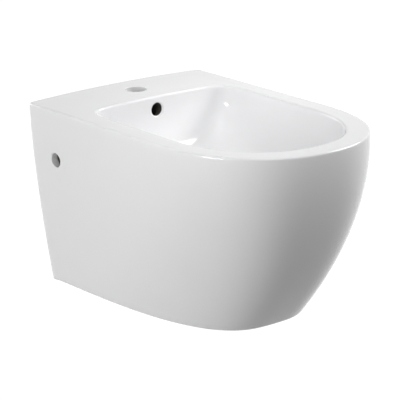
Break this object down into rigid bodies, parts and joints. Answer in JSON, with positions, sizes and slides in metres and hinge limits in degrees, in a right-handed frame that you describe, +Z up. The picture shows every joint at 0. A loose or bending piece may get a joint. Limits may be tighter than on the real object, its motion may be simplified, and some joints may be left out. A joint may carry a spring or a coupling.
{
  "type": "wall-hung bidet",
  "caption": "Wall-hung bidet: hollow white china body with a rounded nose, tap hole, overflow, push-plug waste, bottle trap and concealed stud fixing.",
  "frame": {"origin": "on the wall plane, midway between the two wall studs", "axes": "+X to the right seen from the front, +Y into the wall, +Z up; the nose points along -Y"},
  "size_m": [0.3602, 0.5299, 0.3144],
  "materials": {
    "white_china": "glossy white glaze over vitreous china",
    "chrome_brass": "polished chrome plate on brass",
    "brass": "turned brass",
    "black_rubber": "matt moulded rubber",
    "white_plastic": "moulded polypropylene",
    "grey_nylon": "moulded nylon",
    "zinc_steel": "bright zinc plate on steel",
    "spring_steel": "drawn stainless wire"
  },
  "bodies": {
    "bidet": {"ceramic_body": "white_china", "waste_body": "chrome_brass", "cartridge_cap": "chrome_brass", "waste_back_nut": "brass", "click_cartridge": "brass", "waste_flange_seal": "black_rubber", "waste_under_seal": "black_rubber", "trap_inlet_seal": "black_rubber", "trap_tube_seal": "black_rubber", "trap_cup_seal": "black_rubber", "trap_outlet_seal": "black_rubber", "waste_slip_washer": "white_plastic", "trap_inlet_nut": "white_plastic", "trap_dip_tube": "white_plastic", "trap_head": "white_plastic", "trap_cup": "white_plastic", "trap_outlet_nut": "white_plastic", "outlet_pipe": "white_plastic", "sleeve_bush_left": "grey_nylon", "sleeve_bush_right": "grey_nylon", "clamp_saddle_left": "grey_nylon", "clamp_saddle_right": "grey_nylon", "wall_sleeve_left": "zinc_steel", "wall_sleeve_right": "zinc_steel", "clamp_screws": "zinc_steel", "clamp_washers": "zinc_steel", "stud_washers": "zinc_steel", "stud_nuts": "zinc_steel", "click_spring": "spring_steel"},
    "drain_plug": {"plug_cap": "chrome_brass", "plug_seal": "black_rubber", "plug_stem": "brass"}
  },
  "joints": [
    {"name": "plug_slide", "type": "slide", "parent": "bidet", "child": "drain_plug", "axis": [0, 0, 1], "range_m": [0, 0.009], "deforming": ["click_spring"]}
  ]
}
